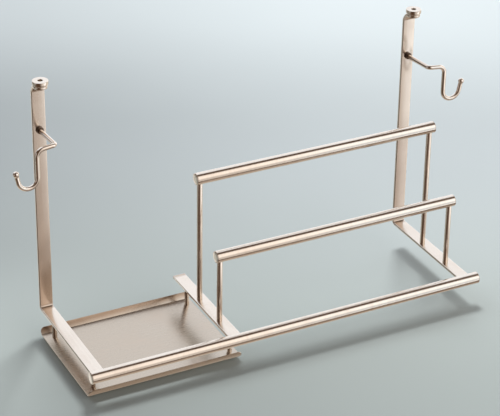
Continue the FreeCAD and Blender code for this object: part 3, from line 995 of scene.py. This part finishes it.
class RACK_OT_mounts(bpy.types.Operator):
    """Turn the washer and the bush on top of each strap's eye"""

    bl_idname = "rack.mounts"
    bl_label = "Mounting washers and bushes"

    def execute(self, context):
        hole = sizes().bush_hole
        neck = sizes().bush_neck
        washer_edge = 0.0005
        bush_edge = 0.0006
        for side in SIDES:
            low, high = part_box("mount_washer_" + side)
            middle = (low + high) / 2
            outer = (high.x - low.x) / 2
            height = high.z - low.z
            outline = [(neck, 0), (outer, 0), (outer, height), (neck, height)]
            rings = softened(outline, washer_edge, closed=True)
            washer = turned(rings, (middle.x, middle.y, low.z), closed=True, segments=96)
            deliver(washer, "eye_washer_" + side, post_metal(), "mount_metal", "mount_washer_" + side)
            low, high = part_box("mount_bush_" + side)
            head = (high.x - low.x) / 2
            under = middle_of("mount_washer_" + side).z + height / 2 - low.z
            top = high.z - low.z
            outline = [
                (hole, 0), (neck, 0), (neck, under), (head, under), (head, top), (hole, top),
            ]
            rings = softened(outline, bush_edge, closed=True)
            bush = turned(rings, (middle.x, middle.y, low.z), closed=True, segments=72)
            deliver(bush, "eye_bush_" + side, post_metal(), "mount_metal", "mount_bush_" + side)
        return {"FINISHED"}


def cross_recess(centre, width, depth):
    """A closed cross-shaped cutter that reaches a depth up from a centre."""
    bars = []
    for turn in (0, math.pi / 2):
        clear_selection()
        bpy.ops.mesh.primitive_cube_add(size=1, location=centre, rotation=(0, 0, turn))
        bpy.context.object.scale = (width, width * 0.22, depth * 2)
        bars.append(apply_place(bpy.context.object))
    first, second = bars
    modify(first, "BOOLEAN", operation="UNION", solver="EXACT", object=second)
    bpy.data.objects.remove(second)
    return first


class RACK_OT_fasteners(bpy.types.Operator):
    """Make the post screws, the tray screws and the closed nuts behind the hooks"""

    bl_idname = "rack.fasteners"
    bl_label = "Fasteners"

    def execute(self, context):
        self.post_screws()
        self.tray_screws()
        self.nuts()
        return {"FINISHED"}

    def screws(self, outline, places, recess, name, node):
        """One screw for each place, all in one piece. recess is the width of its cross."""
        recess_depth = 0.0011
        made = []
        for place in places:
            screw = turned(softened(outline, PIN_EDGE), place, segments=48)
            lowest = place + Vector((0, 0, outline[0][1]))
            cut(screw, cross_recess(lowest, recess, recess_depth))
            made.append(screw)
        deliver(join(made), name, fastener_metal(), "fastener", node)

    def post_screws(self):
        """Flat heads that lie just inside their recesses in the arms."""
        low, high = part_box("post_screws")
        head, shank = sizes().post_screw_head, sizes().post_screw_shank
        sunk = 0.0001
        outline = [
            (shank, sunk), (head - 0.00015, sunk), (head, 0.0018), (shank, 0.002), (shank, 0.014),
        ]
        places = [
            Vector((place.x, place.y, low.z))
            for place in post_screw_places(low.x, high.x)
        ]
        recess = shank * 2
        self.screws(outline, places, recess, "post_screw_set", "post_screws")

    def tray_screws(self):
        """Raised heads under the tray."""
        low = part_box("tray_screws")[0]
        head, shank = sizes().tray_screw_head, sizes().tray_screw_shank
        outline = [
            (head * 0.375, 0), (head * 0.75, 0.0002), (head, 0.0010), (head, 0.0018),
            (shank, 0.0018), (shank, 0.010),
        ]
        places = []
        for depth in ("rear", "front"):
            for side in SIDES:
                place = middle_of("tray_spacer_%s_%s" % (depth, side))
                places.append(Vector((place.x, place.y, low.z)))
        recess = 0.0036
        self.screws(outline, places, recess, "tray_screw_set", "tray_screws")

    def nuts(self):
        """Closed nuts: a chamfered hexagon with a dome on it."""
        low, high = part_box("hook_nuts")
        corner, height = sizes().nut_radius, sizes().nut_height
        chamfer = 0.0004
        hexagon = [
            (corner - 0.0003, 0), (corner, chamfer), (corner, height), (corner - 0.0005, height + chamfer),
        ]
        dome_radius = corner - 0.0009
        dome = [(dome_radius, height - 0.0003)]
        steps = 9
        for step in range(steps):
            angle = math.pi / 2 * step / steps
            rise = (high.y - low.y - height) * math.sin(angle)
            dome.append((dome_radius * math.cos(angle), height + rise))
        nuts = []
        for side in SIDES:
            place = middle_of("hook_collar_" + side)
            base = (place.x, low.y, place.z)
            nuts.append(turned(hexagon, base, Y_AXIS, segments=6))
            nuts.append(turned(dome, base, Y_AXIS, segments=40))
        deliver(join(nuts), "hook_nut_set", fastener_metal(), "fastener", "hook_nuts")


# ---------------------------------------------------------------------------------------------
# Stage


class RACK_OT_stage(bpy.types.Operator):
    """Lay the pale floor, set the soft studio light and place the camera"""

    bl_idname = "rack.stage"
    bl_label = "Stage, light and camera"

    def execute(self, context):
        self.lay_floor()
        self.light_world(context.scene)
        self.hang_lamp(context.scene)
        self.place_camera(context.scene)
        context.scene.view_settings.view_transform = "Standard"
        return {"FINISHED"}

    def lay_floor(self):
        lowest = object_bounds()[0].z
        clear_selection()
        bpy.ops.mesh.primitive_plane_add(size=40, location=(0, 0, lowest - stage().floor_gap))
        floor = apply_place(bpy.context.object)
        floor.name = "floor"
        floor.visible_glossy = False
        material = bpy.data.materials.new("pale floor")
        shader = Shader(material)
        x, y, z = shader.position()
        # Painted light and shade: the floor grows paler towards its far right corner and at its near left
        # one, and a little darker at the front, as the studio light would make it, along two level
        # directions turned 27 degrees from the frame's.
        depth = x * 0.46 + y * 0.89
        side = x * 0.89 - y * 0.46
        far = shader.ramp(depth, 0.5, 1.15)
        right = shader.ramp(side, -0.6, 0.6)
        front = shader.ramp(0 - depth, 0.0, 0.35)
        near_left_painted_light = shader.ramp(0 - side, 0.12, 0.35) * shader.ramp(0 - depth, -0.15, 0.2)
        clouds = shader.noise(shader.vector(x, y, z), 2.2, 3.0)
        # Painted light and shade: the ramps lift and lower the floor's colour in place of the light's
        # fall; the clouds vary it at random.
        tone = finish().floor_tone + far * 0.26 + right * 0.18 - front * 0.05
        tone = tone + near_left_painted_light * 0.13 + (clouds - 0.5) * 0.05
        near_tint, far_tint = opaque(finish().floor_near), opaque(finish().floor_far)
        tint = shader.blend(shader.ramp(depth, -0.2, 0.5), near_tint, far_tint)
        colour = shader.blend(tone, (0.0, 0.0, 0.0, 1.0), tint)
        surface = shader.node("ShaderNodeBsdfPrincipled", None, {
            "Base Color": colour, "Roughness": 0.8, "Specular IOR Level": 0.1,
        })
        shader.node("ShaderNodeOutputMaterial", None, {"Surface": surface.outputs[0]})
        floor.data.materials.append(material)
        floor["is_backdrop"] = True

    def light_world(self, scene):
        """Soft cards of light round the rack. -Y is in front of it, and +X at its right."""
        world = bpy.data.worlds.new("studio")
        scene.world = world
        shader = Shader(world)
        direction = shader.node("ShaderNodeTexCoord").outputs["Generated"]
        split = shader.node("ShaderNodeSeparateXYZ", inputs={"Vector": direction})
        x, y, z = (Signal(shader, split.outputs[axis]) for axis in "XYZ")

        # The front card fades downwards and to the left, and is strongest low at the right.
        ahead = shader.ramp(0 - y, 0.3, 0.55)
        level = shader.ramp(z, -0.6, -0.35)
        facing = shader.ramp(x - y * 0.25, -0.25, 0.55)
        right_card = shader.ramp(x, 0.36, 0.5)
        card = (0.5 + right_card * 0.6) * shader.ramp(0 - z, 0.3, 0.4)
        front = 0.6 + shader.ramp(z, -0.2, 0.35) * 0.7 + card

        # The rear card ends a little below the horizon, and stops short of the left.
        behind = shader.ramp(y, 0.1, 0.38) * shader.ramp(x - y * 0.5, -0.95, -0.75)
        above = shader.ramp(z, -0.42, -0.12)

        # A narrow strip low behind lights the left sides of the left strap and arm.
        below = shader.ramp(0 - z, 0.2, 0.45)
        side_strip = shader.ramp(x, -0.4, -0.33) * shader.ramp(0 - x, 0.1, 0.25)
        low_strip = shader.ramp(y, 0.6, 0.78) * side_strip * below

        # The front card and its cool right end, the rear card, the floor behind, the low strip,
        # the right and left walls, the floor below, and the brown of the room.
        lights = (
            ((1.0, 0.97, 0.93, 1.0), ahead * facing * level * front),
            ((0.1, 0.58, 1.0, 1.0), ahead * right_card * level * 0.27),
            ((0.93, 1.02, 1.11, 1.0), behind * above * 1.12),
            ((0.80, 1.0, 0.97, 1.0), shader.ramp(y, 0.0, 0.3) * below * 0.3),
            ((1.0, 0.97, 0.95, 1.0), low_strip * 0.75),
            ((1.0, 0.95, 0.88, 1.0), shader.ramp(x, 0.58, 0.85) * 0.65),
            ((0.95, 0.98, 1.0, 1.0), shader.ramp(0 - x, 0.88, 0.97) * 0.5),
            ((1.0, 0.9, 0.78, 1.0), shader.ramp(0 - z, 0.6, 0.92) * 0.42),
            ((0.85, 0.5, 0.32, 1.0), 0.12),
        )
        whole = None
        for colour, strength in lights:
            inputs = {"Color": colour, "Strength": strength}
            light = shader.node("ShaderNodeBackground", None, inputs).outputs[0]
            if whole:
                light = shader.node("ShaderNodeAddShader", None, {0: whole, 1: light}).outputs[0]
            whole = light
        shader.node("ShaderNodeOutputWorld", None, {"Surface": whole})

    def hang_lamp(self, scene):
        lamp = bpy.data.lights.new("overhead softbox", "AREA")
        lamp.size = stage().lamp_size
        lamp.energy = stage().lamp_power
        obj = bpy.data.objects.new("overhead softbox", lamp)
        scene.collection.objects.link(obj)
        obj.location = stage().lamp_place
        aim = Vector(stage().lamp_aim) - Vector(stage().lamp_place)
        obj.rotation_mode = "QUATERNION"
        obj.rotation_quaternion = aim.to_track_quat("-Z", "Y")
        obj.visible_glossy = False
        obj.visible_camera = False

    def place_camera(self, scene):
        camera = bpy.data.cameras.new("camera")
        camera.lens = stage().camera_lens
        camera.sensor_width = 36
        camera.shift_y = stage().camera_shift
        camera.clip_end = 100
        obj = bpy.data.objects.new("camera", camera)
        scene.collection.objects.link(obj)
        obj.location = stage().camera_place
        level_turn = Euler((math.pi / 2 - stage().camera_down, 0, -stage().camera_turn), "XYZ")
        roll = Quaternion(Z_AXIS, stage().camera_roll)
        obj.rotation_mode = "QUATERNION"
        obj.rotation_quaternion = level_turn.to_quaternion() @ roll
        scene.camera = obj


# ---------------------------------------------------------------------------------------------
# Add-on


OPERATORS = (
    RACK_OT_straps,
    RACK_OT_middle_arm,
    RACK_OT_tubes,
    RACK_OT_end_caps,
    RACK_OT_posts,
    RACK_OT_spacers,
    RACK_OT_tray,
    RACK_OT_hooks,
    RACK_OT_mounts,
    RACK_OT_fasteners,
    RACK_OT_stage,
)


class RACK_PT_panel(bpy.types.Panel):
    """Lists the rack's pieces, sizes and colours"""

    bl_idname = "RACK_PT_panel"
    bl_label = "Valet rack"
    bl_space_type = "VIEW_3D"
    bl_region_type = "UI"
    bl_category = "Rack"

    def draw(self, context):
        layout = self.layout
        for operator in OPERATORS:
            layout.operator(operator.bl_idname)
        for group in (sizes(), finish(), stage()):
            box = layout.box()
            for name in group.__annotations__:
                box.prop(group, name)


SETTINGS = {"rack_sizes": RackSizes, "rack_finish": RackFinish, "rack_stage": RackStage}
CLASSES = tuple(SETTINGS.values()) + OPERATORS + (RACK_PT_panel,)


def register():
    for item in CLASSES:
        bpy.utils.register_class(item)
    for name, group in SETTINGS.items():
        setattr(bpy.types.Scene, name, bpy.props.PointerProperty(type=group))


def unregister():
    for name in SETTINGS:
        delattr(bpy.types.Scene, name)
    for item in reversed(CLASSES):
        bpy.utils.unregister_class(item)


def main():
    register()
    for operator in OPERATORS:
        group, name = operator.bl_idname.split(".")
        getattr(getattr(bpy.ops, group), name)()
    bpy.context.view_layer.update()


if __name__ == "__main__":
    main()
